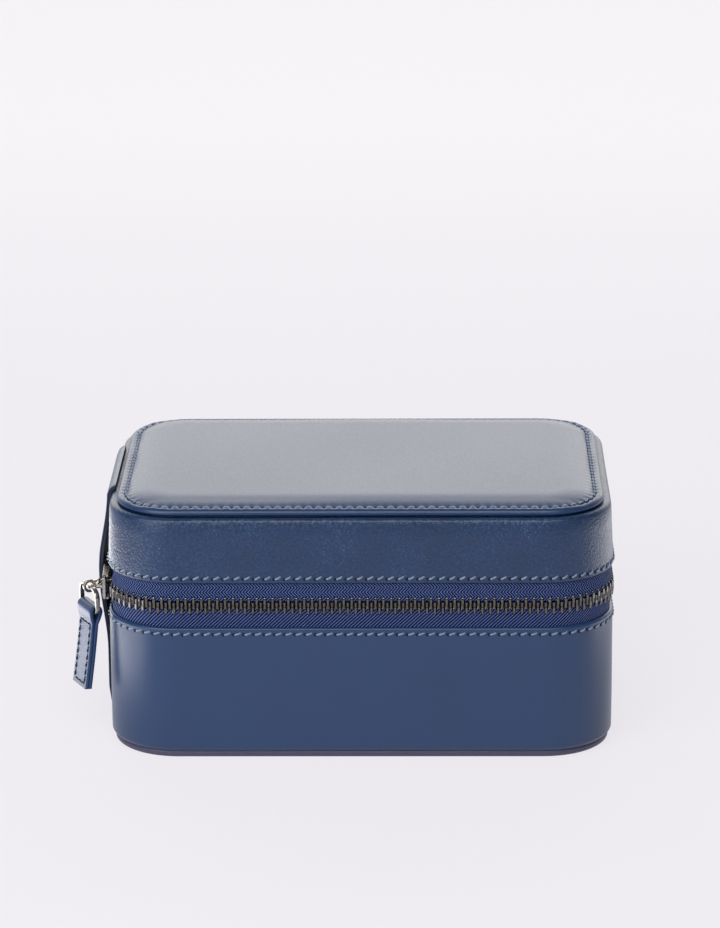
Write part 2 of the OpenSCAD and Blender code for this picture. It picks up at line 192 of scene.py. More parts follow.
def pull_straight(bm, edges, way, step=4.0):
    """Extrudes edges along a vector; gives the last edges."""
    steps = max(1, round(way.length / step))
    return advance(bm, edges, steps, way.length,
                   lambda points: bmesh.ops.translate(bm, verts=points, vec=way / steps))


def turn_corner(bm, edges, centre, angle=math.pi / 2, steps=18, radius=CORNER_R):
    """Extrudes edges round an upright axis; lengths are measured at the radius."""
    middle = (centre[0], centre[1], 0)
    return advance(bm, edges, steps, radius * angle,
                   lambda points: turn(bm, points, angle / steps, "Z", middle))


# Each wall as (heading, length, centre of the corner that follows it), from the left wall on.
ROUTE = (
    (Vector((0, -1, 0)), 2 * RUN_SHORT, (-RUN_LONG, -RUN_SHORT)),
    (Vector((1, 0, 0)), 2 * RUN_LONG, (RUN_LONG, -RUN_SHORT)),
    (Vector((0, 1, 0)), 2 * RUN_SHORT, (RUN_LONG, RUN_SHORT)),
    (Vector((-1, 0, 0)), 2 * RUN_LONG, (-RUN_LONG, RUN_SHORT)),
)


def carry_round(bm, section, closed=True, step=4.0, turns=18, radius=CORNER_R):
    """Carries a section, points of (outwards, height), once round the walls."""
    start = [(-CASE_W / 2 - out, RUN_SHORT, z) for out, z in section]
    edges = draw_line(bm, start, closed)
    for heading, length, centre in ROUTE:
        edges = pull_straight(bm, edges, heading * length, step)
        edges = turn_corner(bm, edges, centre, steps=turns, radius=radius)
    bmesh.ops.remove_doubles(bm, verts=bm.verts, dist=0.002)


def on_wall(s, out):
    """Point and outward normal at length s along the wall line moved outwards.
    The length starts where the front left corner does."""
    radius = CORNER_R + out
    quarter = radius * math.pi / 2
    for index in range(4):
        centre = Vector((*ROUTE[index][2], 0))
        heading, length, _ = ROUTE[(index + 1) % 4]
        angle = math.pi + index * math.pi / 2
        if s <= quarter:
            angle += s / radius
            normal = Vector((math.cos(angle), math.sin(angle), 0))
            return centre + normal * radius, normal
        s -= quarter
        angle += math.pi / 2
        normal = Vector((math.cos(angle), math.sin(angle), 0))
        if s <= length:
            return centre + normal * radius + heading * s, normal
        s -= length
    return on_wall(0.0, out)


def wall_length(out):
    """Length of the whole wall line moved outwards."""
    return 4 * (RUN_LONG + RUN_SHORT) + 2 * math.pi * (CORNER_R + out)


print("wall line", round(wall_length(0)), "mm round")

# %% Lines and hand-made unevenness
def arc(cx, cz, radius, start, end, steps=6):
    """Points of an arc, angles in degrees."""
    angles = [math.radians(start + (end - start) * i / steps) for i in range(steps + 1)]
    return [(cx + radius * math.cos(a), cz + radius * math.sin(a)) for a in angles]


def ladder(start, end, step):
    """Points on a straight line, both ends included."""
    count = max(1, math.ceil(math.dist(start, end) / step))
    rungs = [i / count for i in range(count + 1)]
    return [tuple(a + (b - a) * t for a, b in zip(start, end)) for t in rungs]


def gentle(x, y, z):
    """A slow wave between about -1 and 1."""
    long_wave = math.sin(x * 0.071 + 1.3) * math.cos(y * 0.063 + z * 0.11)
    slant_wave = math.sin(x * 0.031 - y * 0.047 + z * 0.19 + 0.6)
    return 0.6 * long_wave + 0.4 * slant_wave


def uneven(bm, amount):
    """Moves every point a little along its normal, as stretched leather lies."""
    bm.normal_update()
    for vert in bm.verts:
        vert.co += vert.normal * (amount * gentle(*vert.co))


print("line helpers ready")

# %% [markdown]
# ## Finishes
# Leather, woven tape, suede, thread, edge paint, board and two metals. What
# two or more finishes share is a node group with its own inputs: pebbled
# grain, slow mottling and fine scuffs. They read Object coordinates, so a
# pattern stays on its piece when the piece moves.

# %% Node helpers
def new_group(name, inputs, output="Value"):
    """An empty shader group with number inputs and one number output."""
    group = bpy.data.node_groups.new(name, "ShaderNodeTree")
    for label, default in inputs:
        socket = group.interface.new_socket(label, in_out="INPUT", socket_type="NodeSocketFloat")
        socket.default_value = default
    group.interface.new_socket(output, in_out="OUTPUT", socket_type="NodeSocketFloat")
    return group, group.nodes.new("NodeGroupInput"), group.nodes.new("NodeGroupOutput")


def sums(tree, operation, *values):
    """A maths node; numbers are set and sockets are linked."""
    node = tree.nodes.new("ShaderNodeMath")
    node.operation = operation
    for socket, value in zip(node.inputs, values):
        if isinstance(value, (int, float)):
            socket.default_value = value
        else:
            tree.links.new(value, socket)
    return node.outputs[0]


def noise(tree, scale, detail=2.0):
    """A noise on Object coordinates; scale is a number or a socket."""
    coords = tree.nodes.new("ShaderNodeTexCoord").outputs["Object"]
    node = tree.nodes.new("ShaderNodeTexNoise")
    node.inputs["Detail"].default_value = detail
    tree.links.new(coords, node.inputs["Vector"])
    if isinstance(scale, (int, float)):
        node.inputs["Scale"].default_value = scale
    else:
        tree.links.new(scale, node.inputs["Scale"])
    return node.outputs["Fac"]


def mottle_group():
    """Slow cloudiness, from 0 to 1."""
    group, start, end = new_group("mottle", [("Scale", 60.0)])
    clouds = noise(group, start.outputs["Scale"], 3.0)
    spread = sums(group, "MULTIPLY_ADD", clouds, 2.4, -0.7)
    limited = sums(group, "MINIMUM", sums(group, "MAXIMUM", spread, 0.0), 1.0)
    group.links.new(limited, end.inputs["Value"])
    return group


def grain_group():
    """Pebbles parted by creases, with pores, as a height from 0 to about 1."""
    group, start, end = new_group("pebble_grain", [("Scale", 1100.0), ("Pores", 0.4)])
    coords = group.nodes.new("ShaderNodeTexCoord").outputs["Object"]
    cells = group.nodes.new("ShaderNodeTexVoronoi")
    cells.feature = "SMOOTH_F1"
    group.links.new(coords, cells.inputs["Vector"])
    group.links.new(start.outputs["Scale"], cells.inputs["Scale"])
    pebble = sums(group, "SUBTRACT", 1.0, cells.outputs["Distance"])
    pores = noise(group, sums(group, "MULTIPLY", start.outputs["Scale"], 2.5), 3.0)
    height = sums(group, "MULTIPLY_ADD", pores, start.outputs["Pores"], pebble)
    group.links.new(height, end.inputs["Value"])
    return group


def scuff_group():
    """Fine rubbed marks for metal, from 0 to 1."""
    group, start, end = new_group("scuffs", [("Scale", 700.0)])
    coarse = noise(group, start.outputs["Scale"], 4.0)
    fine = noise(group, sums(group, "MULTIPLY", start.outputs["Scale"], 6.0), 2.0)
    mean = sums(group, "MULTIPLY", sums(group, "ADD", coarse, fine), 0.5)
    group.links.new(mean, end.inputs["Value"])
    return group


MOTTLE, GRAIN, SCUFFS = mottle_group(), grain_group(), scuff_group()
print("shared groups:", MOTTLE.name, GRAIN.name, SCUFFS.name)

# %% Twill of the tape
CROSS_SLANT, CROSS_PACE, CROSS_SHARE = 0.6, 2.3, 0.35


def twill_group():
    """Slanting ribs of thread. Fold turns them into a herringbone of that row height."""
    group, start, end = new_group("twill", [("Fold", 100.0), ("Pitch", 1.0)])
    along = group.nodes.new("ShaderNodeAttribute")
    along.attribute_name = "along"
    coords = group.nodes.new("ShaderNodeTexCoord").outputs["Object"]
    split = group.nodes.new("ShaderNodeSeparateXYZ")
    group.links.new(coords, split.inputs[0])
    height = sums(group, "SUBTRACT", split.outputs["Z"], ZIP_Z * MM)
    row = sums(group, "PINGPONG", height, sums(group, "MULTIPLY", start.outputs["Fold"], MM))
    metres = sums(group, "MULTIPLY", along.outputs["Fac"], MM)
    slant = sums(group, "ADD", metres, row)
    turns = sums(group, "DIVIDE", math.tau / MM, start.outputs["Pitch"])
    ribs = sums(group, "SINE", sums(group, "MULTIPLY", slant, turns))
    cross = sums(group, "SUBTRACT", metres, sums(group, "MULTIPLY", row, CROSS_SLANT))
    cross_turns = sums(group, "MULTIPLY", sums(group, "MULTIPLY", cross, CROSS_PACE), turns)
    threads = sums(group, "SINE", cross_turns)
    both = sums(group, "MULTIPLY_ADD", threads, CROSS_SHARE, ribs)
    group.links.new(sums(group, "MULTIPLY_ADD", both, 0.37, 0.5), end.inputs["Value"])
    return group


TWILL = twill_group()
print("weave:", TWILL.name)


# %% Material helpers
def place_group(material, group, **values):
    """Puts a group into a material with its own values; gives its output."""
    node = material.node_tree.nodes.new("ShaderNodeGroup")
    node.node_tree = group
    for label, value in values.items():
        node.inputs[label].default_value = value
    return node.outputs[0]


def paint(material, shader, source, stops):
    """Base colour that follows a value; stops are (position, colour)."""
    node = material.node_tree.nodes.new("ShaderNodeValToRGB")
    elements = node.color_ramp.elements
    for element, (position, color) in zip(elements, (stops[0], stops[-1])):
        element.position = position
        element.color = (*color, 1)
    for position, color in stops[1:-1]:
        elements.new(position).color = (*color, 1)
    material.node_tree.links.new(source, node.inputs["Fac"])
    material.node_tree.links.new(node.outputs["Color"], shader.inputs["Base Color"])


def rough_between(material, shader, source, low, high):
    """Roughness that follows a value from low to high."""
    scaled = sums(material.node_tree, "MULTIPLY_ADD", source, high - low, low)
    material.node_tree.links.new(scaled, shader.inputs["Roughness"])


def bump(material, shader, height, depth, strength=1.0):
    """A height in millimetres for the shader's normal."""
    node = material.node_tree.nodes.new("ShaderNodeBump")
    node.inputs["Strength"].default_value = strength
    node.inputs["Distance"].default_value = depth * MM
    material.node_tree.links.new(height, node.inputs["Height"])
    material.node_tree.links.new(node.outputs["Normal"], shader.inputs["Normal"])


def new_material(name, metallic=0.0, ior=1.5):
    """A Principled material and its shader."""
    material = bpy.data.materials.new(name)
    material.use_nodes = True
    shader = material.node_tree.nodes["Principled BSDF"]
    shader.inputs["Metallic"].default_value = metallic
    shader.inputs["IOR"].default_value = ior
    return material, shader


print("material helpers ready")


# %% Leather
NAVY = (0.010, 0.045, 0.140)
# PAINTED_GLINT lifts the navy on the pebble tops: a painted highlight.
HIDE_IOR, CLOUD_SCALE, PAINTED_GLINT = 1.58, 55.0, 0.16
HIDE_SMOOTH, HIDE_ROUGH = 0.25, 0.38


def shade(color, share):
    """A colour made lighter or darker."""
    return tuple(part * share for part in color)


def leather(name, depth, grain_and_painted_light, scale):
    """Finished hide: cloudy navy, darker in the creases (grain tone and painted shade), with painted glints
    on the pebbles.
    """
    material, shader = new_material(name, ior=HIDE_IOR)
    tree = material.node_tree
    cloud = place_group(material, MOTTLE, Scale=CLOUD_SCALE)
    grain = place_group(material, GRAIN, Scale=scale, Pores=0.35)
    even_grain = sums(tree, "MULTIPLY_ADD", grain, 2.2, -1.45)
    cloud_part = sums(tree, "MULTIPLY", cloud, 1 - grain_and_painted_light)
    grain_part = sums(tree, "MULTIPLY", even_grain, grain_and_painted_light)
    tone = sums(tree, "ADD", cloud_part, grain_part)
    # The grain's share darkens the creases, partly grain tone and partly painted shade, and its painted
    # glint lightens the pebble tops.
    spread = 0.04 + 0.55 * grain_and_painted_light
    painted_glint = tuple(part + PAINTED_GLINT * grain_and_painted_light for part in NAVY)
    stops = [(0.0, shade(NAVY, 1 - spread)), (0.65, NAVY), (1.0, painted_glint)]
    paint(material, shader, tone, stops)
    rough_between(material, shader, grain, HIDE_SMOOTH, HIDE_ROUGH)
    bump(material, shader, grain, depth)
    return material


SMOOTH_HIDE = leather("smooth_hide", 0.012, 0.0, 1600.0)
GRAINED_HIDE = leather("grained_hide", 0.13, 0.6, 1400.0)
print("leathers:", SMOOTH_HIDE.name, GRAINED_HIDE.name)


# %% Cloth, thread and edge paint
# The tape is navy; its darkest stop is painted shade between the ribs and its lightest a painted highlight
# on the threads.
TAPE_RIB_SHADE = (0.002, 0.004, 0.028)
TAPE_BLUE = (0.012, 0.030, 0.150)
TAPE_THREAD_HIGHLIGHT = (0.150, 0.230, 0.500)
CLOTH_IOR = 1.3


def tape_cloth(name, fold, pitch):
    """Twilled navy tape: painted shade between the ribs, a painted highlight on the threads."""
    material, shader = new_material(name, ior=CLOTH_IOR)
    weave = place_group(material, TWILL, Fold=fold, Pitch=pitch)
    stops = [(0.3, TAPE_RIB_SHADE), (0.62, TAPE_BLUE), (0.9, TAPE_THREAD_HIGHLIGHT)]
    paint(material, shader, weave, stops)
    rough_between(material, shader, weave, 0.85, 0.6)
    bump(material, shader, weave, 0.16)
    return material


def napped(name, dark, light):
    """Suede: cloudy colour and a fine nap."""
    material, shader = new_material(name, ior=CLOTH_IOR)
    cloud = place_group(material, MOTTLE, Scale=130.0)
    nap = place_group(material, GRAIN, Scale=2600.0, Pores=0.8)
    paint(material, shader, cloud, [(0.0, dark), (1.0, light)])
    rough_between(material, shader, cloud, 0.86, 0.97)
    bump(material, shader, nap, 0.06)
    return material


def plain_fibre(name, dark, light, scale, rough):
    """Thread, paint, board or paper: two close colours and a small grain."""
    material, shader = new_material(name)
    marks = place_group(material, SCUFFS, Scale=scale)
    paint(material, shader, marks, [(0.3, dark), (0.7, light)])
    rough_between(material, shader, marks, rough - 0.08, rough + 0.08)
    bump(material, shader, marks, 0.03, 0.6)
    return material


LOWER_CLOTH = tape_cloth("lower_tape_twill", 100.0, 1.2)
UPPER_CLOTH = tape_cloth("upper_tape_twill", 1.5, 1.0)
SUEDE = napped("grey_suede", (0.25, 0.27, 0.34), (0.31, 0.33, 0.40))
THREAD = plain_fibre("waxed_thread", (0.150, 0.225, 0.370), (0.330, 0.430, 0.600), 1800.0, 0.36)
# The tab's stitches get the waxed thread made darker: a shaded copy, painted shade.
SHADED_THREAD = plain_fibre("shaded_thread", (0.012, 0.018, 0.040), (0.030, 0.042, 0.080), 1800.0, 0.5)
# A near-black disc at each stitch's first end: painted shade inside the needle hole.
HOLE_SHADE = plain_fibre("needle_hole_shade", (0.004, 0.006, 0.014), (0.007, 0.010, 0.022), 900.0, 0.8)
EDGE_PAINT_AND_DARK_PLY = plain_fibre("edge_paint_and_dark_ply", (0.006, 0.008, 0.016), (0.012, 0.015, 0.028), 500.0, 0.42)
SOLE_EDGE = plain_fibre("sole_edge", (0.062, 0.060, 0.112), (0.086, 0.084, 0.150), 500.0, 0.42)
BOARD = plain_fibre("grey_board", (0.17, 0.18, 0.21), (0.22, 0.23, 0.26), 300.0, 0.9)
print("cloth and fibres ready")


# %% Metals
def metal(name, dark, light, low, high):
    """Plated metal: tone and gloss follow fine rubbed marks."""
    material, shader = new_material(name, metallic=1.0)
    marks = place_group(material, SCUFFS, Scale=600.0)
    paint(material, shader, marks, [(0.35, dark), (0.65, light)])
    rough_between(material, shader, marks, low, high)
    bump(material, shader, marks, 0.01, 0.5)
    return material


GUNMETAL = metal("gunmetal", (0.10, 0.097, 0.097), (0.17, 0.163, 0.160), 0.08, 0.22)
PEWTER = metal("pewter", (0.33, 0.305, 0.275), (0.47, 0.44, 0.40), 0.16, 0.32)
print("materials in all:", len(bpy.data.materials))

# %% [markdown]
# ## Leather walls
# Thin hide is glued over the boards and folded over at the zip, which gives
# each wall a rounded lip there. The lid's wall leans in a little and turns
# over a shoulder under the rim. A section with rounded corners carried round
# the walls gives these lips exactly, where a solid with a bevel would need
# its edges picked by hand.

# %% Wall bands
LIP_R, FOOT_R, FOOT_SEAM = 0.95, 1.1, 0.6
SEAM_FIT, TUCK_IN, SLACK = 0.05, 4.9, 0.06


def base_section():
    """From the foot of the wall to the lip at the zip."""
    section = [(-LEATHER_T, SOLE_T), (-1.0, SOLE_T)]
    foot = SOLE_T + FOOT_SEAM
    section += arc(-FOOT_R, foot + 1.0, FOOT_R, -70, -5, 5)
    section += ladder((0.0, foot + 1.1), (0.0, BASE_EDGE - 1.1), 6)
    section += arc(-LIP_R, BASE_EDGE - LIP_R, LIP_R, 5, 90, 7)
    return section + [(-LEATHER_T, BASE_EDGE - 0.1)]


def lid_section():
    """From the lip at the zip to the seam under the rim."""
    top = SEAM_Z - SEAM_FIT
    section = [(-LEATHER_T, LID_EDGE + 0.1)]
    section += arc(-LIP_R, LID_EDGE + LIP_R, LIP_R, -90, -5, 7)
    section += ladder((0.0, LID_EDGE + 1.2), (-LID_LEAN * 0.92, top - SHOULDER), 5)
    section += arc(-LID_LEAN - SHOULDER, top - SHOULDER, SHOULDER, 8, 80, 8)
    section += [(-TUCK_IN, top - 0.35), (-TUCK_IN, top - 0.9)]
    return section + [(-LEATHER_T - LID_LEAN, top - 2.4)]


def wall_band(name, section, material):
    """A closed band of leather, slightly uneven."""
    bm = new_mesh()
    carry_round(bm, section)
    uneven(bm, SLACK)
    return finish_mesh(bm, name, material)


base_leather = dress(wall_band("base_band_leather", base_section(), SMOOTH_HIDE),
                     "base", "navy_leather", "base_band")
lid_leather = dress(wall_band("lid_band_leather", lid_section(), GRAINED_HIDE),
                    "lid", "navy_leather", "lid_band")
print("bands:", len(base_leather.data.polygons), "and", len(lid_leather.data.polygons), "faces")

# %% [markdown]
# ## Padded top
# The top is leather over thin foam: a raised rim, a row of stitches that
# pulls the leather down, and a crown that swells from the stitches to a
# nearly flat middle. The rim and the swell are one open section carried
# round; the middle is the inner loop extruded and scaled towards the centre.

# %% The top panel
RIM_INSET, RIM_H, STITCH_IN = 3.3, 2.35, 3.0
EDGE_R, DIP, SWELL_W, CROWN = 1.6, 0.3, 10.5, 2.15
TOP_BASE, UNDER_R = SEAM_Z + SEAM_FIT, 0.85
SWELL_STEPS = (1.9, 2.2, 2.45, 2.7, 2.9, 3.05, 3.3, 3.7, 4.3, 5.0, 6, 7, 8, 9.5, 11, 13, 15)
SWELL_END, STITCH_PITCH, PUCKER, PUCKER_REACH = 17.0, 3.3, 0.35, 2.2
BACK_FULLER, RIPPLE, SETTLE = 0.35, 0.15, 0.1
UPPER_SIDE = TOP_BASE + 1.2
RIM_SEWN = wall_length(-RIM_INSET - STITCH_IN)
RIM_PITCH = RIM_SEWN / round(RIM_SEWN / STITCH_PITCH)


def top_height(s):
    """Height of the leather above the seam at s in from the rim's edge."""
    low = RIM_H - DIP
    if s <= EDGE_R:
        return RIM_H
    if s <= STITCH_IN:
        t = (s - EDGE_R) / (STITCH_IN - EDGE_R)
        return RIM_H - DIP * t * t * (3 - 2 * t)
    t = min(1.0, (s - STITCH_IN) / SWELL_W)
    return low + CROWN * (1 - (1 - t) ** 2)


def top_section():
    """From under the rim, round its edge, through the stitches, up the swell."""
    section = arc(-RIM_INSET - UNDER_R, TOP_BASE + UNDER_R, UNDER_R, -90, 0, 5)
    section += arc(-RIM_INSET - EDGE_R, TOP_BASE + RIM_H - EDGE_R, EDGE_R, 0, 90, 7)
    for s in (*SWELL_STEPS, SWELL_END):
        section.append((-RIM_INSET - s, TOP_BASE + top_height(s)))
    return section


def fill_middle(bm, rings=14):
    """Extrudes the inner loop towards the centre and closes it."""
    high = TOP_BASE + top_height(SWELL_END) - 0.01
    loop = [e for e in bm.edges if e.is_boundary and e.verts[0].co.z > high]
    for ring in range(rings - 1):
        made = bmesh.ops.extrude_edge_only(bm, edges=loop)["geom"]
        share = (rings - ring - 1) / (rings - ring)
        bmesh.ops.scale(bm, vec=(share, share, 1), verts=verts_of(made))
        loop = edges_between(made)
    bmesh.ops.edgeloop_fill(bm, edges=loop)


def puff(bm):
    """Makes the swell a little uneven, and fuller towards the back."""
    for vert in bm.verts:
        inset = min(CASE_W / 2 - abs(vert.co.x), CASE_D / 2 - abs(vert.co.y)) - RIM_INSET
        share = min(1.0, max(0.0, (inset - STITCH_IN) / 6))
        if vert.co.z > UPPER_SIDE:
            fuller = BACK_FULLER * vert.co.y / RUN_SHORT
            vert.co.z += share * (fuller + RIPPLE * gentle(*vert.co) - SETTLE)


def pucker(bm):
    """Draws the leather in at each needle hole of the rim, between two stitches."""
    along = bm.verts.layers.float["along"]
    for vert in bm.verts:
        corner = Vector((max(0, abs(vert.co.x) - RUN_LONG), max(0, abs(vert.co.y) - RUN_SHORT)))
        inset = CORNER_R - RIM_INSET - corner.length
        near = max(0.0, 1 - ((inset - STITCH_IN) / PUCKER_REACH) ** 2)
        phase = (vert[along] - 2 * RUN_SHORT) / RIM_PITCH - 0.5
        if vert.co.z > UPPER_SIDE:
            vert.co.z -= PUCKER * near * max(0.0, math.cos(math.tau * phase)) ** 3


def top_panel():
    """The whole top as one closed skin."""
    bm = new_mesh()
    carry_round(bm, top_section(), False, 0.8, 36, CORNER_R - RIM_INSET - STITCH_IN)
    pucker(bm)
    fill_middle(bm)
    puff(bm)
    close_ends(bm)
    return finish_mesh(bm, "lid_top_leather", SMOOTH_HIDE, sharp=60)


top_leather = dress(top_panel(), "lid", "navy_leather", "lid_top", "lid_foam")
print("top panel:", len(top_leather.data.polygons), "faces")

# %% [markdown]
# ## Zip
# Two woven tapes are sewn behind the leather lips, and metal teeth are
# clamped over the tapes' beaded edges, half a pitch apart so that the heads
# interlock. The tapes are sections carried along the zip. A tooth starts as
# a cube, gets its head by extrusion and its dimple by inset, and is copied
# along the chain; an array on a curve would tilt the teeth at the corners.

# %% Tapes
CHAIN_MID, CHAIN_HALF, TOOTH_PITCH, TOOTH_T = -0.95, 3.05, 2.55, 2.5
MOUTH = math.radians(17)
TAPE_T, BEAD_Z, TAPE_BACK, TAPE_HIDDEN = 0.35, 1.5, 0.55, 7.5


def tape_section(side):
    """From behind the leather to the beaded edge; side is 1 above, -1 below."""
    line = [(-TAPE_BACK, HALF_GAP + TAPE_HIDDEN), (-TAPE_BACK, HALF_GAP)]
    line += [(-0.35, HALF_GAP - 1.6), (0.0, CHAIN_HALF + 1.2), (0.12, CHAIN_HALF + 0.3)]
    line += [(0.12, BEAD_Z + 0.7), (0.3, BEAD_Z + 0.35), (0.12, BEAD_Z)]
    front = [(CHAIN_MID + out + TAPE_T, ZIP_Z + side * z) for out, z in line]
    back = [(CHAIN_MID + out - TAPE_T, ZIP_Z + side * z) for out, z in reversed(line)]
    return front + back


def tape(name, side, material):
    """The lower tape starts at the strap, the upper one at the slider's mouth."""
    bm = new_mesh()
    start_y = -RUN_SHORT if side > 0 else -ZIP_END_Y
    edges = draw_line(bm, [(-CASE_W / 2 - out, start_y, z) for out, z in tape_section(side)])
    corner = ROUTE[0][2]
    if side > 0:
        turn(bm, bm.verts, MOUTH, "Z", (*corner, 0))
        edges = turn_corner(bm, edges, corner, math.pi / 2 - MOUTH)
    else:
        edges = pull_straight(bm, edges, Vector((0, ZIP_END_Y - RUN_SHORT, 0)))
        edges = turn_corner(bm, edges, corner)
    for heading, length, centre in ROUTE[1:]:
        edges = pull_straight(bm, edges, heading * length)
        edges = turn_corner(bm, edges, centre)
    pull_straight(bm, edges, Vector((0, ZIP_END_Y - RUN_SHORT, 0)))
    close_ends(bm)
    return finish_mesh(bm, name, material, sharp=50)


dress(tape("lower_tape_cloth", -1, LOWER_CLOTH), "base", "zip_tape", "lower_tape")
dress(tape("upper_tape_cloth", 1, UPPER_CLOTH), "lid", "zip_tape", "upper_tape")
print("tapes ready")

# %% One tooth
LEG_W, LEG_LOW, TIP_H, HEAD_W, HEAD_LOW = 0.95, 0.75, 0.75, 1.1, -1.3
LEG_T, TIP_SHARE = TOOTH_T - 0.2, (0.85, 0.63, 1)
TOOTH_EDGE, DIMPLE_RIM, DIMPLE_DEPTH = 0.2, 0.16, 0.22


def face_towards(bm, direction, height):
    """The face at about a height that looks most in a direction."""
    near = [f for f in bm.faces if abs(f.calc_center_median().z - height) < 0.6]
    return max(near, key=lambda f: f.normal.dot(direction))


def tooth_unit():
    """Legs upwards, head downwards, outwards along Y."""
    bm = bmesh.new()
    bmesh.ops.create_cube(bm, size=1.0)
    leg_h = CHAIN_HALF - TIP_H - LEG_LOW
    bmesh.ops.scale(bm, vec=(LEG_W, LEG_T, leg_h), verts=bm.verts)
    bmesh.ops.translate(bm, vec=(0, 0, LEG_LOW + leg_h / 2), verts=bm.verts)
    foot = min(bm.faces, key=lambda f: f.calc_center_median().z)
    head = bmesh.ops.extrude_discrete_faces(bm, faces=[foot])["faces"][0]
    bmesh.ops.translate(bm, vec=(0, 0, HEAD_LOW - LEG_LOW), verts=head.verts)
    bmesh.ops.scale(bm, vec=(HEAD_W / LEG_W, TOOTH_T / LEG_T, 1), verts=head.verts)
    leg_end = max(bm.faces, key=lambda f: f.calc_center_median().z)
    tip = bmesh.ops.extrude_discrete_faces(bm, faces=[leg_end])["faces"][0]
    bmesh.ops.translate(bm, vec=(0, 0, TIP_H), verts=tip.verts)
    bmesh.ops.scale(bm, vec=TIP_SHARE, verts=tip.verts)
    bm.normal_update()
    round_edges(bm, bm.edges, TOOTH_EDGE, 1)
    bm.normal_update()
    for way in (1, -1):
        cheek = face_towards(bm, Vector((0, way, 0)), (HEAD_LOW + LEG_LOW) / 2)
        bmesh.ops.inset_individual(bm, faces=[cheek], thickness=DIMPLE_RIM, depth=-DIMPLE_DEPTH)
    return unit_mesh(bm, "tooth_unit")


TOOTH = tooth_unit()
print("a tooth has", len(TOOTH.polygons), "faces")


# %% Rows of teeth
def place_copies(name, unit, places, material, sharp=35):
    """One mesh of a shape copied to many places, each a 4 by 4 matrix in millimetres."""
    bm = bmesh.new()
    count = len(unit.vertices)
    for place in places:
        bm.from_mesh(unit)
        bm.verts.ensure_lookup_table()
        bmesh.ops.transform(bm, matrix=place, verts=bm.verts[-count:])
    return finish_mesh(bm, name, material, sharp)


def frame_at(point, along, outward):
    """A place whose X runs along, whose Y looks outwards and whose Z completes them."""
    x, y = along.normalized(), outward.normalized()
    axes = Matrix((x, y, x.cross(y))).transposed().to_4x4()
    return Matrix.Translation(point) @ axes


CHAIN_LEN = wall_length(CHAIN_MID) - RUN_SHORT - ZIP_END_Y


def tooth_places(side, first):
    """Every pitch along the chain, the upper row half a pitch on."""
    phase = 1 + (TOOTH_PITCH / 2 if side > 0 else 0)
    s = phase + math.ceil((first - phase) / TOOTH_PITCH) * TOOTH_PITCH
    places = []
    while s < CHAIN_LEN - 0.8:
        point, normal = on_wall(s, CHAIN_MID)
        along = Vector((-normal.y, normal.x, 0)) * -side
        places.append(frame_at(point + Vector((0, 0, ZIP_Z)), along, normal))
        s += TOOTH_PITCH
    return places


MOUTH_S = (CORNER_R + CHAIN_MID) * MOUTH
lower_row = place_copies("lower_teeth_row", TOOTH, tooth_places(-1, 1.0), GUNMETAL)
upper_row = place_copies("upper_teeth_row", TOOTH, tooth_places(1, MOUTH_S + 0.8), GUNMETAL)
dress(lower_row, "base", "gunmetal", "lower_teeth")
dress(upper_row, "lid", "gunmetal", "upper_teeth")
print("chain", round(CHAIN_LEN), "mm,", len(upper_row.data.polygons), "faces in the upper row")

# %% [markdown]
# ## Stitches
# Waxed thread shows as short slanting bridges, each diving into its needle
# holes. One stitch is a ring of six points spun into a flat arch, with a
# near-black disc at its first end, painted shade inside the needle hole; it
# is copied along the walls, the rim and the pull.

# %% One stitch
STITCH_RISE, STITCH_SHOWN = 0.5, 0.45
HOLE_SHARE, HOLE_LIFT, HOLE_DROP = 1.85, 0.07, 0.6


def stitch_unit(length, radius):
    """A thread along X that arches towards Y, six-sided, with a dark disc of painted hole shade at its first
    end.
    """
    bend_r = (length * length / 4 + STITCH_RISE * STITCH_RISE) / (2 * STITCH_RISE)
    half = math.asin(length / 2 / bend_r)
    bm = bmesh.new()
    bmesh.ops.create_circle(bm, segments=6, radius=radius)
    turn(bm, bm.verts, math.pi / 2, "Y")
    bmesh.ops.translate(bm, vec=(0, bend_r, 0), verts=bm.verts)
    turn(bm, bm.verts, half, "Z")
    bmesh.ops.spin(bm, geom=list(bm.verts) + list(bm.edges), cent=(0, 0, 0), axis=(0, 0, 1),
                   angle=-2 * half, steps=6)
    close_ends(bm)
    bmesh.ops.translate(bm, vec=(0, STITCH_RISE * STITCH_SHOWN - bend_r, 0), verts=bm.verts)
    bmesh.ops.recalc_face_normals(bm, faces=bm.faces)
    made = bmesh.ops.create_circle(bm, segments=8, radius=radius * HOLE_SHARE, cap_ends=True)
    hole = made["verts"]
    turn(bm, hole, -math.pi / 2, "X")
    bmesh.ops.translate(bm, vec=(-length / 2 - radius, HOLE_LIFT, -radius * HOLE_DROP), verts=hole)
    for face in {f for vert in hole for f in vert.link_faces}:
        face.material_index = 1
    return unit_mesh(bm, "stitch_unit")


print("a stitch rises", STITCH_RISE, "mm")


# %% Rows of stitches
STITCH_OFF = 2.0
RIM_STITCH_Z = TOP_BASE + top_height(STITCH_IN) + 0.1


def stitch_row(name, places, length, radius, body, thread=THREAD):
    """A row of stitches with the painted shade of their needle holes."""
    row = place_copies(name, stitch_unit(length, radius), places, thread, sharp=60)
    row.data.materials.append(HOLE_SHADE)
    return dress(row, body, "navy_leather")


def ring_places(out, z, pitch, slant, upward=False):
    """Places round the walls, each turned by the slant about the way it faces."""
    total = wall_length(out)
    count = round(total / pitch)
    tilt = Matrix.Rotation(math.radians(slant), 4, "Y")
    places = []
    for i in range(count):
        point, normal = on_wall(total * i / count, out)
        along = Vector((-normal.y, normal.x, 0))
        facing = Vector((0, 0, 1)) if upward else normal
        places.append(frame_at(point + Vector((0, 0, z)), along, facing) @ tilt)
    return places


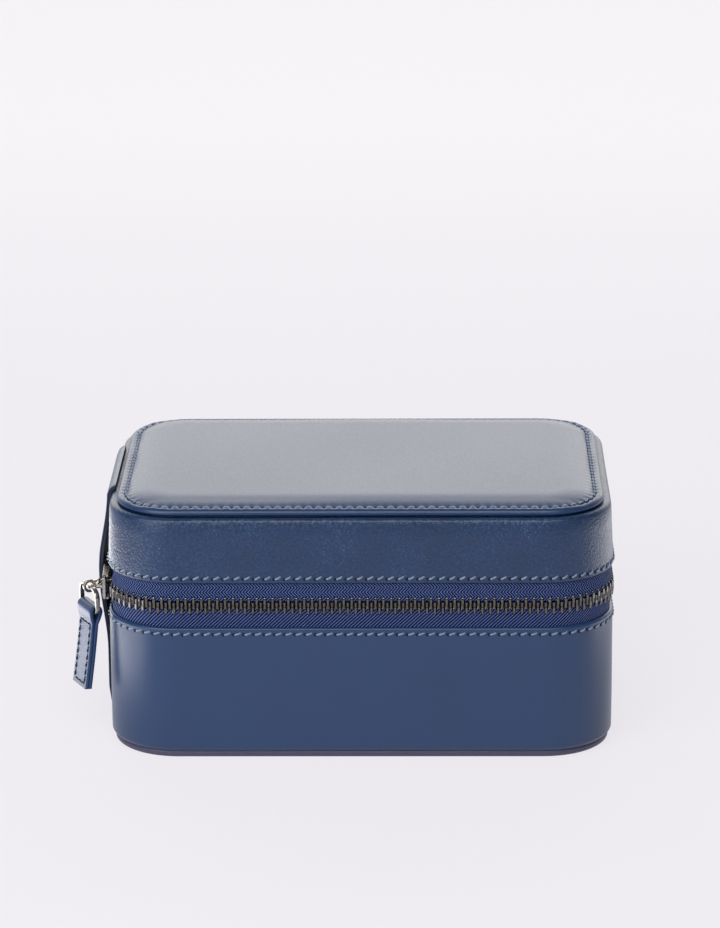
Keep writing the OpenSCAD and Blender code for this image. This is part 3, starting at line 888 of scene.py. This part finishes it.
base_places = ring_places(0.0, BASE_EDGE - STITCH_OFF, STITCH_PITCH, 18)
stitch_row("base_stitches", base_places, 2.0, 0.32, "base")
lid_places = ring_places(0.0, LID_EDGE + STITCH_OFF, STITCH_PITCH, 26)
stitch_row("lid_stitches", lid_places, 1.9, 0.33, "lid")
rim_places = ring_places(-RIM_INSET - STITCH_IN, RIM_STITCH_Z, STITCH_PITCH, 12, True)
stitch_row("rim_stitches", rim_places, 2.0, 0.36, "lid")
print("stitches:", len(base_places), "base,", len(lid_places), "lid,", len(rim_places), "rim")

# %% [markdown]
# ## Hinge strap and gusset
# The strap is two plies of leather with painted black edges. It is sewn low
# on the base, bows out past the zip and tucks under the rim. Behind it a
# suede strip closes the gap.

# %% Strap
PLY_T, STRAP_BOW, TAPER = 0.55, 2.4, 8.0
STRAP_FIT, STRAP_THIN, STRAP_ROWS = 0.06, 0.6, 60
TUCK_FIT, TUCK_THIN, TUCK_ROWS = 0.15, 0.3, 8


def strap_back():
    """Side view of the strap's back, as (outwards, height, thickness, lean)."""
    high = SEAM_Z - SEAM_FIT - SHOULDER
    rows = []
    for i in range(STRAP_ROWS + 1):
        z = STRAP_LOW + (high - STRAP_LOW) * i / STRAP_ROWS
        lean = max(0.0, LID_LEAN * (z - LID_EDGE) / (SEAM_Z - LID_EDGE))
        free = max(0.0, (z - STRAP_FREE) / (high - STRAP_FREE))
        bow = STRAP_BOW * math.sin(math.pi * free) ** 2
        thick = min(STRAP_T, STRAP_THIN + (STRAP_T - STRAP_THIN) * (z - STRAP_LOW) / TAPER)
        rows.append((STRAP_FIT - lean + bow, z, thick, 0.0))
    for i in range(1, TUCK_ROWS + 1):
        a = math.radians(10 * i)
        r = SHOULDER + TUCK_FIT
        out = -LID_LEAN - SHOULDER + r * math.cos(a)
        rows.append((out, high + r * math.sin(a), STRAP_T - TUCK_THIN, a))
    return rows


def strap_points(rows, share):
    """The strap's side line at a share of its thickness, at its front edge."""
    points = []
    for out, z, thick, lean in rows:
        d = thick * share
        x = -CASE_W / 2 - out - d * math.cos(lean)
        points.append((x, -STRAP_W / 2, z + d * math.sin(lean)))
    return points


def strap_ply(bm, rows, inner, outer):
    """One ply: its closed side view pulled across the width, edges rounded."""
    line = strap_points(rows, inner) + list(reversed(strap_points(rows, outer)))
    edges = draw_line(bm, line)
    ply = set(pull_straight(bm, edges, Vector((0, STRAP_W, 0)))) | set(edges)
    close_ends(bm)
    round_edges(bm, ply, 0.16, 2)


def strap():
    """Both plies in one mesh; painted edges and the inner ply are dark."""
    bm = new_mesh()
    rows = strap_back()
    split = 1 - PLY_T / STRAP_T
    # The whole inner ply, faces and edges, takes the near-black of the painted edges.
    strap_ply(bm, rows, 0.0, split)
    for face in bm.faces:
        face.material_index = 1
    strap_ply(bm, rows, split + 0.012, 1.0)
    obj = finish_mesh(bm, "hinge_strap_leather", SMOOTH_HIDE, sharp=50)
    obj.data.materials.append(EDGE_PAINT_AND_DARK_PLY)
    return obj


strap_leather = dress(strap(), None, "navy_leather", "hinge_strap")
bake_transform(strap_leather, "base", "lid",
         start=HINGE - Vector((0, 0, 8)) * MM, end=HINGE + Vector((0, 0, 8)) * MM)
print("strap:", len(strap_leather.data.polygons), "faces")


# %% Gusset
def gusset():
    """A suede strip from inside the base's wall to inside the lid's."""
    x, reach, thick, half = -CASE_W / 2 + 1.5, 15.4, 0.7, ZIP_END_Y - 0.5
    low = [(x - thick / 2, -half, ZIP_Z - reach), (x - thick / 2, half, ZIP_Z - reach),
           (x + thick / 2, half, ZIP_Z - reach), (x + thick / 2, -half, ZIP_Z - reach)]
    bm = new_mesh()
    pull_straight(bm, draw_line(bm, low), Vector((0, 0, 2 * reach)), step=0.8)
    close_ends(bm)
    return finish_mesh(bm, "hinge_gusset_suede", SUEDE)


gusset_suede = dress(gusset(), None, "suede", "hinge_gusset")
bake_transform(gusset_suede, "base", "lid",
         start=HINGE - Vector((0, 0, 7)) * MM, end=HINGE + Vector((0, 0, 7)) * MM)
print("gusset ready")

# %% [markdown]
# ## Slider and pull
# The slider, its bridge, the link and the ring are small cast and bent metal
# parts. Their solids already have the right shape, so they keep their meshes
# and only get a finish and rounded edges from modifiers: the triangles of a
# solid are loose, so they are welded first. The leather tab is one strip
# folded over the ring and sewn flat; its side view is pulled across its width.

# %% Metal parts
METAL_EDGES = {"slider_shell": 0.22, "slider_bridge": 0.1, "pull_link": 0.3, "pull_ring": 0.28}
WELD_GAP = 1e-6


def finish_solid(node, material, edge_r=0.0):
    """Gives a solid its finish and, if asked, rounded edges."""
    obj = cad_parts[node]
    obj.data.materials.clear()
    obj.data.materials.append(material)
    if edge_r:
        weld = obj.modifiers.new("weld", "WELD")
        weld.merge_threshold = WELD_GAP
        edge = obj.modifiers.new("edge", "BEVEL")
        edge.width = edge_r * MM
        edge.segments = 3
        edge.limit_method = "ANGLE"
        edge.angle_limit = math.radians(35)
        edge.harden_normals = True
    return obj


for node, edge_r in METAL_EDGES.items():
    finish_solid(node, PEWTER, edge_r)
print("metal parts finished")

# %% Leather tab
BAR_AT = Vector((-86.15, -32.5, ZIP_Z))
PULL_TURN, LINK_DROOP, TAB_LEAN = math.radians(27), math.radians(8), math.radians(6)
LINK_L, RING_H, TAB_L, TAB_W = 3.2, 7.6, 26.4, 11.0
TAB_PLY, LOOP_R, NECK_L, TAB_CURL = 1.2, 1.72, 4.2, 0.7
NECK = ((-0.85, -3.3), (-1.25, -2.2), (-1.55, -1.1))
EYE_AT = Vector((-LINK_L * math.cos(LINK_DROOP), 0, -LINK_L * math.sin(LINK_DROOP)))
TAB_PLACE = (Matrix.Translation(BAR_AT) @ Matrix.Rotation(PULL_TURN, 4, "Z")
             @ Matrix.Translation(EYE_AT - Vector((0, 0, RING_H))) @ Matrix.Rotation(TAB_LEAN, 4, "Y"))


def tab_bend(z):
    """How far the strip curls outwards at a depth below the bar."""
    return -TAB_CURL * (min(0.0, z) / TAB_L) ** 2


def tab_line():
    """Middle line of the strip: up the outside, round the bar and down the inside."""
    half = TAB_PLY / 2 - 0.01
    side = [(-half, z) for _, z in ladder((0, -TAB_L), (0, -NECK_L), 1.4)]
    side += NECK
    loop = arc(0, 0, LOOP_R, 180, 0, 10)
    other = [(-x, z) for x, z in reversed(side)]
    return side + loop + other


def tab_outline():
    """The strip's closed side view, half a ply to each side of its middle line."""
    line = [Vector(point) for point in tab_line()]
    outer, inner = [], []
    for i, point in enumerate(line):
        way = (line[min(i + 1, len(line) - 1)] - line[max(i - 1, 0)]).normalized()
        across = Vector((-way.y, way.x)) * (TAB_PLY / 2)
        outer.append(point + across)
        inner.append(point - across)
    return outer + inner[::-1]


def tab():
    """Pulls the side view across the width and rounds both sides."""
    bm = new_mesh()
    outline = [(p.x + tab_bend(p.y), -TAB_W / 2, p.y) for p in tab_outline()]
    edges = draw_line(bm, outline)
    sides = set(pull_straight(bm, edges, Vector((0, TAB_W, 0)), step=1.1)) | set(edges)
    close_ends(bm)
    round_edges(bm, sides, 0.28, 3)
    bmesh.ops.transform(bm, matrix=TAB_PLACE, verts=bm.verts)
    return finish_mesh(bm, "pull_tab_leather", SMOOTH_HIDE, sharp=50)


dress(tab(), "tab", "navy_leather", "pull_tab")
print("pull tab:", TAB_L, "x", TAB_W, "mm")

# %% Stitches of the tab
TAB_MARGIN, TAB_SEWN, TAB_STITCH = 1.5, 8, 2.55
ACROSS = (-2.6, 0.0, 2.6)


def tab_places():
    """Stitches down both edges, across the neck and across the end, on both faces."""
    places = []
    for side in (-1, 1):
        facing = Vector((side, 0, 0))

        def put(y, z, along):
            point = Vector((side * (TAB_PLY - 0.02) + tab_bend(z), y, z))
            places.append(TAB_PLACE @ frame_at(point, along, facing))

        for y in (-TAB_W / 2 + TAB_MARGIN, TAB_W / 2 - TAB_MARGIN):
            for i in range(TAB_SEWN):
                put(y, -NECK_L - 1.6 - i * TAB_STITCH, Vector((0, 0, -1)))
        for z in (-NECK_L - 0.4, -TAB_L + 1.6):
            for y in ACROSS:
                put(y, z, Vector((0, 1, 0)))
    return places


# The tab's stitches use the shaded copy of the thread: painted shade.
tab_stitches = stitch_row("tab_stitches", tab_places(), 1.8, 0.22, "tab", SHADED_THREAD)
print("stitches of the tab:", len(tab_stitches.data.polygons), "faces")

# %% [markdown]
# ## Inside
# The boards are lined with suede. The base holds a bed with four stuffed
# ring rolls and three dividers, and the lid holds a flat cushion. Linings
# are cups: a section carried round and closed by a floor. The rolls and the
# cushion are sewn skins with stuffing, so they are blown up a little with
# Cloth under pressure, which draws them tight the way stuffing does.

# %% Linings
BOARD_IN, LINING_IN = -4.3, -5.3
FLOOR_Z, CEILING_Z, LINING_T = 4.6, 78.6, 1.0
BASE_RIM_Z, LID_RIM_Z = 51.9, 58.7
RIM_ROLL, FLOOR_CURVE = 0.4, 1.6


def lining(name, rim, floor, up):
    """A cup of suede with a rolled rim; up is 1 in the base and -1 in the lid."""
    inner = floor + up * LINING_T
    outside = BOARD_IN - SEAM_FIT
    section = [(outside, floor + up * SEAM_FIT), (outside, rim - up * RIM_ROLL)]
    section += [(BOARD_IN - 0.2, rim - up * 0.1), (BOARD_IN - 0.5, rim)]
    section += [(LINING_IN + 0.2, rim - up * 0.1), (LINING_IN, rim - up * RIM_ROLL)]
    section += [(LINING_IN, inner + up * FLOOR_CURVE), (LINING_IN - 0.45, inner + up * 0.5)]
    section.append((LINING_IN - FLOOR_CURVE, inner))
    bm = new_mesh()
    carry_round(bm, section, closed=False)
    close_ends(bm)
    return finish_mesh(bm, name, SUEDE, sharp=60)


dress(lining("base_lining_suede", BASE_RIM_Z, FLOOR_Z, 1), "base", "suede", "base_lining")
dress(lining("lid_lining_suede", LID_RIM_Z, CEILING_Z, -1), "lid", "suede", "lid_lining")
print("linings ready")


# %% Dividers and bed
def node_box(node):
    """Lowest and highest corner of a solid, in millimetres."""
    low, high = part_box(node)
    return Vector(low) / MM, Vector(high) / MM


def divider(node):
    """A covered board with a round top edge."""
    low, high = node_box(node)
    bm = new_mesh()
    bmesh.ops.create_cube(bm, size=1.0)
    bmesh.ops.scale(bm, vec=high - low, verts=bm.verts)
    bmesh.ops.translate(bm, vec=(low + high) / 2, verts=bm.verts)
    top = [e for e in bm.edges if min(v.co.z for v in e.verts) > high.z - 0.1]
    round_edges(bm, top, 1.3, 4)
    return finish_mesh(bm, node + "_suede", SUEDE, sharp=50)


for node in ("divider_long", "divider_cross_1", "divider_cross_2"):
    dress(divider(node), "base", "suede", node)
finish_solid("roll_bed", SUEDE)
finish_solid("base_board", BOARD)
finish_solid("lid_board", BOARD)
finish_solid("base_sole", SOLE_EDGE)
print("dividers, bed, boards and sole finished")


# %% Stuffing
PRESSURE, SWELL_FRAMES = 4.0, 20


def keep_result(obj):
    """Makes what the modifiers show into the mesh itself."""
    seen = obj.evaluated_get(bpy.context.evaluated_depsgraph_get())
    mesh = bpy.data.meshes.new_from_object(seen)
    obj.modifiers.clear()
    obj.data = mesh


def stuff(obj, voxel, cap, held):
    """Swells a closed skin under pressure; held says which points stay."""
    even = obj.modifiers.new("even", "REMESH")
    even.mode = "VOXEL"
    even.voxel_size = voxel * MM
    keep_result(obj)
    pins = obj.vertex_groups.new(name="held")
    pins.add([v.index for v in obj.data.vertices if held(v.co / MM)], 1.0, "REPLACE")
    cloth = obj.modifiers.new("swell", "CLOTH")
    cloth.settings.vertex_group_mass = pins.name
    cloth.settings.use_pressure = True
    cloth.settings.uniform_pressure_force = PRESSURE
    cloth.settings.effector_weights.gravity = 0.0
    for step in range(1, SWELL_FRAMES + 1):
        bpy.context.scene.frame_set(step)
    seen = obj.evaluated_get(bpy.context.evaluated_depsgraph_get())
    moved = [v.co.copy() for v in seen.data.vertices]
    obj.modifiers.clear()
    bpy.context.scene.frame_set(1)
    for vert, new in zip(obj.data.vertices, moved):
        shift = new - vert.co
        vert.co += shift * min(1.0, cap * MM / max(shift.length, 1e-9))
    for face in obj.data.polygons:
        face.use_smooth = True
    soft = obj.modifiers.new("soft", "SUBSURF")
    soft.levels = soft.render_levels = 1
    return obj


print("stuffing:", SWELL_FRAMES, "frames of pressure", PRESSURE)

# %% Ring rolls
ROLL_SLACK, ROLL_END, ROLL_HELD = 0.45, 0.5, 5.6


def roll_skin(node):
    """A stuffed tube with short round ends, a little smaller than its solid."""
    low, high = node_box(node)
    middle = (low + high) / 2
    radius = (high.x - low.x) / 2 - ROLL_SLACK
    end = radius * ROLL_END
    bm = new_mesh()
    bmesh.ops.create_uvsphere(bm, u_segments=24, v_segments=12, radius=radius)
    turn(bm, bm.verts, math.pi / 2, "X")
    bmesh.ops.scale(bm, vec=(1, end / radius, 1), verts=bm.verts)
    reach = (high.y - low.y) / 2 - end
    for way in (1, -1):
        half = [v for v in bm.verts if v.co.y * way > 0.01]
        bmesh.ops.translate(bm, vec=(0, way * reach, 0), verts=half)
    bmesh.ops.translate(bm, vec=middle, verts=bm.verts)
    return finish_mesh(bm, node + "_suede", SUEDE, sharp=80), middle


for number in range(1, 5):
    node = f"ring_roll_{number}"
    roll, middle = roll_skin(node)
    stuff(roll, 2.0, 0.4, lambda p, m=middle: p.z < m.z - ROLL_HELD)
    dress(roll, "base", "suede", node)
    print(node, len(roll.data.polygons), "faces")

# %% Lid cushion
PAD_GAP, PAD_ROUND, PAD_DROP, PAD_EDGE = 8.3, 6.0, 4.3, 0.8
PAD_TOP = CEILING_Z - LINING_T - SEAM_FIT


def pad_skin():
    """A flat pillow with a round border, under the ceiling of the lid."""
    section = [(-PAD_GAP - PAD_ROUND, PAD_TOP), (-PAD_GAP - 1, PAD_TOP)]
    for i in range(8):
        a = math.pi / 2 * i / 7
        out = -PAD_GAP - PAD_ROUND * (1 - math.cos(a))
        section.append((out, PAD_TOP - PAD_EDGE - (PAD_DROP - PAD_EDGE) * math.sin(a)))
    bm = new_mesh()
    carry_round(bm, section, closed=False)
    close_ends(bm)
    return finish_mesh(bm, "lid_pad_suede", SUEDE, sharp=80)


pad = stuff(pad_skin(), 2.5, 0.8, lambda p: p.z > PAD_TOP - 0.6)
dress(pad, "lid", "suede", "lid_pad")
print("cushion:", len(pad.data.polygons), "faces")

# %% [markdown]
# ## Studio
# A pale sweep of paper with soft light from the front and from behind. Two
# light panels lie on the paper beside the picture for the corners to mirror.
# The light behind is what makes the top shine, as leather does when it is
# seen at a low angle. The camera stands where the photo's camera stood.

# %% Floor and backdrop
FLOOR_FRONT, SWEEP_Y, SWEEP_R, SWEEP_TOP, SWEEP_W = -2500, 900, 600, 3000, 6000
PAPER_GAP = 0.02


def backdrop():
    """Floor that curves up behind the case."""
    curve = [(SWEEP_Y + y, z) for y, z in arc(0, SWEEP_R, SWEEP_R, -85, 0, 14)]
    side = [(FLOOR_FRONT, 0), (SWEEP_Y, 0)] + curve + [(SWEEP_Y + SWEEP_R, SWEEP_TOP)]
    line = [(-SWEEP_W / 2, y, z - PAPER_GAP) for y, z in side]
    bm = new_mesh()
    pull_straight(bm, draw_line(bm, line, closed=False), Vector((SWEEP_W, 0, 0)), step=SWEEP_W)
    return finish_mesh(bm, "backdrop", PAPER, sharp=60)


def seen_white(material, color, share):
    """Shows the camera and shiny surfaces a pale colour; the rest keeps the shadow."""
    tree = material.node_tree
    path = tree.nodes.new("ShaderNodeLightPath")
    rays = sums(tree, "ADD", path.outputs["Is Camera Ray"], path.outputs["Is Glossy Ray"])
    rays = sums(tree, "ADD", rays, path.outputs["Is Transmission Ray"])
    glow = tree.nodes.new("ShaderNodeEmission")
    glow.inputs["Color"].default_value = (*color, 1)
    mix = tree.nodes.new("ShaderNodeMixShader")
    seen = sums(tree, "MULTIPLY", sums(tree, "MINIMUM", rays, 1.0), share)
    tree.links.new(seen, mix.inputs[0])
    tree.links.new(tree.nodes["Principled BSDF"].outputs[0], mix.inputs[1])
    tree.links.new(glow.outputs[0], mix.inputs[2])
    tree.links.new(mix.outputs[0], tree.nodes["Material Output"].inputs["Surface"])


PAPER = plain_fibre("paper", (0.795, 0.773, 0.817), (0.805, 0.783, 0.827), 40.0, 0.9)
seen_white(PAPER, (0.975, 0.95, 0.995), 0.75)
backdrop()
print("paper sweep", SWEEP_W, "mm wide")


# %% Lights
def softbox(name, place, aim, size, radiance, color=(1, 1, 1)):
    """A soft flat light that faces a point; radiance 1 is paper white."""
    lamp = bpy.data.lights.new(name, "AREA")
    lamp.color = color
    lamp.shape = "RECTANGLE"
    lamp.size, lamp.size_y = size[0] * MM, size[1] * MM
    lamp.energy = radiance * math.pi * lamp.size * lamp.size_y
    obj = bpy.data.objects.new(name, lamp)
    bpy.context.scene.collection.objects.link(obj)
    obj.location = Vector(place) * MM
    obj.rotation_euler = (Vector(aim) - Vector(place)).to_track_quat("-Z", "Y").to_euler()
    return obj


softbox("back_softbox", (0, 1080, 500), (0, 0, 70), (1800, 760), 1.7, (1, 0.98, 0.91))
softbox("key_softbox", (0, -850, 800), (0, 0, 40), (900, 500), 3.2)
softbox("fill_softbox", (-550, -650, 450), (0, 0, 40), (500, 500), 3.4)
softbox("left_panel", (-182, 65, 2), (-182, 65, 500), (84, 370), 3.3)
softbox("right_panel", (320, 95, 2), (320, 95, 500), (260, 310), 1.75)

world = bpy.data.worlds.new("studio")
bpy.context.scene.world = world
world.use_nodes = True
sky = world.node_tree.nodes["Background"]
sky.inputs["Color"].default_value = (1.0, 0.985, 1.01, 1)
sky.inputs["Strength"].default_value = 0.2
print("lights ready")

# %% Camera
FOCAL_PX, DISTANCE = 3876.84, 1292.33
PITCH, YAW, ROLL = (math.radians(v) for v in (17.0, -0.94, -0.36))
AIM = Vector((-0.57, 0.0, 83.23))
PICTURE_H = 928


def place_camera():
    """Camera with the pitch, turn and roll measured from the photo."""
    forward = Vector((0, math.cos(PITCH), -math.sin(PITCH)))
    up = Vector((0, math.sin(PITCH), math.cos(PITCH)))
    right = Vector((1, 0, 0))
    level = math.cos(ROLL) * right + math.sin(ROLL) * up
    upright = math.cos(ROLL) * up - math.sin(ROLL) * right
    camera = bpy.data.cameras.new("camera")
    camera.sensor_width = 36.0
    camera.lens = FOCAL_PX / PICTURE_H * camera.sensor_width
    camera.clip_end = 50
    obj = bpy.data.objects.new("camera", camera)
    bpy.context.scene.collection.objects.link(obj)
    axes = Matrix((level, upright, -forward)).transposed().to_4x4()
    spot = Matrix.Translation((AIM - forward * DISTANCE) * MM)
    obj.matrix_world = Matrix.Rotation(-YAW, 4, "Z") @ spot @ axes
    bpy.context.scene.camera = obj


place_camera()
bpy.context.scene.view_settings.view_transform = "Standard"
print("camera lens", round(bpy.context.scene.camera.data.lens, 1), "mm")
